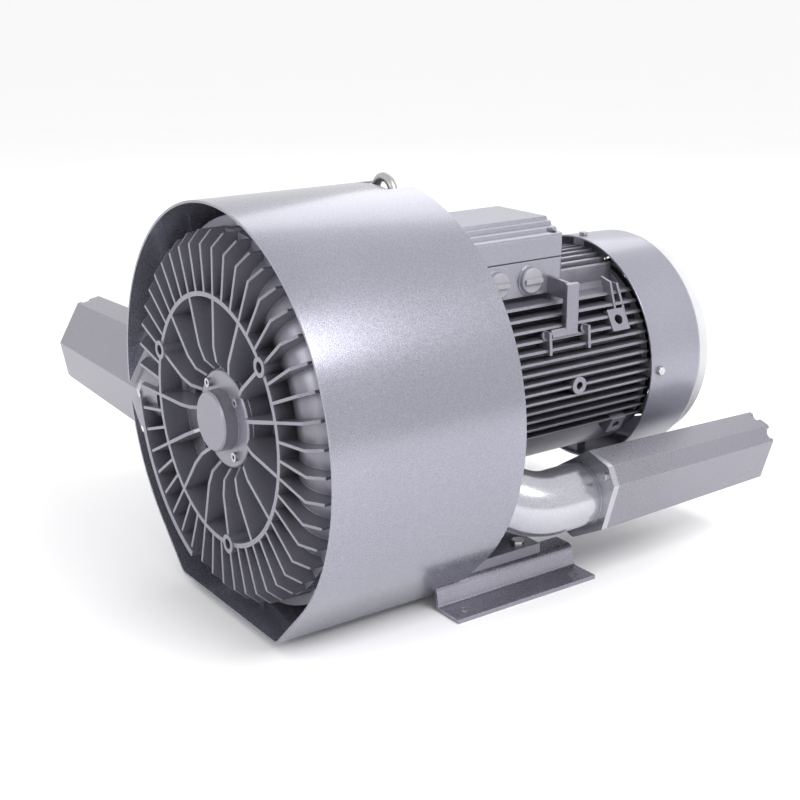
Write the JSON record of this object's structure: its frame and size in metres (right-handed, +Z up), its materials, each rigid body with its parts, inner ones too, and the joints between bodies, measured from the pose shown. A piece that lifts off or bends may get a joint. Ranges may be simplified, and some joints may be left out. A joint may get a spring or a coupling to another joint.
{
  "type": "side channel blower",
  "caption": "Two-stage side channel blower with a ribbed casing in a sheet shroud, finned motor with terminal box, two silencers, lifting eye and foot rails.",
  "frame": {"origin": "on the floor, in the middle of the foot bolt holes", "axes": "+Z up, +Y along the shaft from the ribbed casing to the motor's fan cowl, +X towards the outlet silencer"},
  "size_m": [0.7005, 0.642, 0.467],
  "materials": {
    "shroud_paint": "fine metallic, glossy",
    "casing_paint": "metallic over a cast surface, satin",
    "motor_paint": "metallic over a cast surface, satin",
    "cowl_paint": "fine metallic, satin",
    "box_paint": "fine metallic, satin",
    "elbow_paint": "metallic, glossy",
    "silencer_paint": "fine metallic, satin",
    "rail_paint": "fine metallic, satin",
    "eye_steel": "forged and plated",
    "zinc_steel": "plated",
    "bearing_steel": "ground",
    "impeller_aluminium": "cast",
    "core_steel": "stacked sheet",
    "winding_copper": "varnished wire",
    "fan_plastic": "moulded",
    "guard_plastic": "moulded",
    "plug_plastic": "moulded",
    "black_rubber": "moulded",
    "block_plastic": "moulded",
    "stud_brass": "turned",
    "liner_foam": "open foam"
  },
  "bodies": {
    "stator": {"shroud": "shroud_paint", "front_cover": "casing_paint", "intermediate_casing": "casing_paint", "rear_casing": "casing_paint", "bearing_cap": "casing_paint", "motor_frame": "motor_paint", "drive_end_shield": "motor_paint", "fan_end_shield": "motor_paint", "fan_cowl": "cowl_paint", "terminal_box_base": "box_paint", "terminal_box_lid": "box_paint", "outlet_elbow": "elbow_paint", "inlet_flange": "elbow_paint", "outlet_silencer_body": "silencer_paint", "inlet_silencer_body": "silencer_paint", "right_foot_rail": "rail_paint", "left_foot_rail": "rail_paint", "lifting_eye": "eye_steel", "bearing_cap_screws": "zinc_steel", "shroud_screws": "zinc_steel", "casing_bolts": "zinc_steel", "motor_flange_bolts": "zinc_steel", "cowl_screws": "zinc_steel", "terminal_box_screws": "zinc_steel", "elbow_screws": "zinc_steel", "silencer_screws": "zinc_steel", "foot_rail_bolts": "zinc_steel", "front_bearing": "bearing_steel", "drive_end_bearing": "bearing_steel", "fan_end_bearing": "bearing_steel", "stator_core": "core_steel", "stator_windings": "winding_copper", "fan_guard": "guard_plastic", "blanking_plugs": "plug_plastic", "shaft_seals": "black_rubber", "terminal_box_gasket": "black_rubber", "elbow_gasket": "black_rubber", "terminal_block": "block_plastic", "terminal_studs": "stud_brass", "silencer_liners": "liner_foam"},
    "rotor": {"shaft": "bearing_steel", "impeller_keys": "bearing_steel", "front_impeller": "impeller_aluminium", "rear_impeller": "impeller_aluminium", "impeller_spacers": "impeller_aluminium", "impeller_lock_nut": "bearing_steel", "rotor_core": "core_steel", "cooling_fan": "fan_plastic"}
  },
  "joints": [
    {"name": "rotor_spin", "type": "hinge", "parent": "stator", "child": "rotor", "pos_m": [0, 0, 0.226], "axis": [0, 1, 0], "continuous": true}
  ]
}
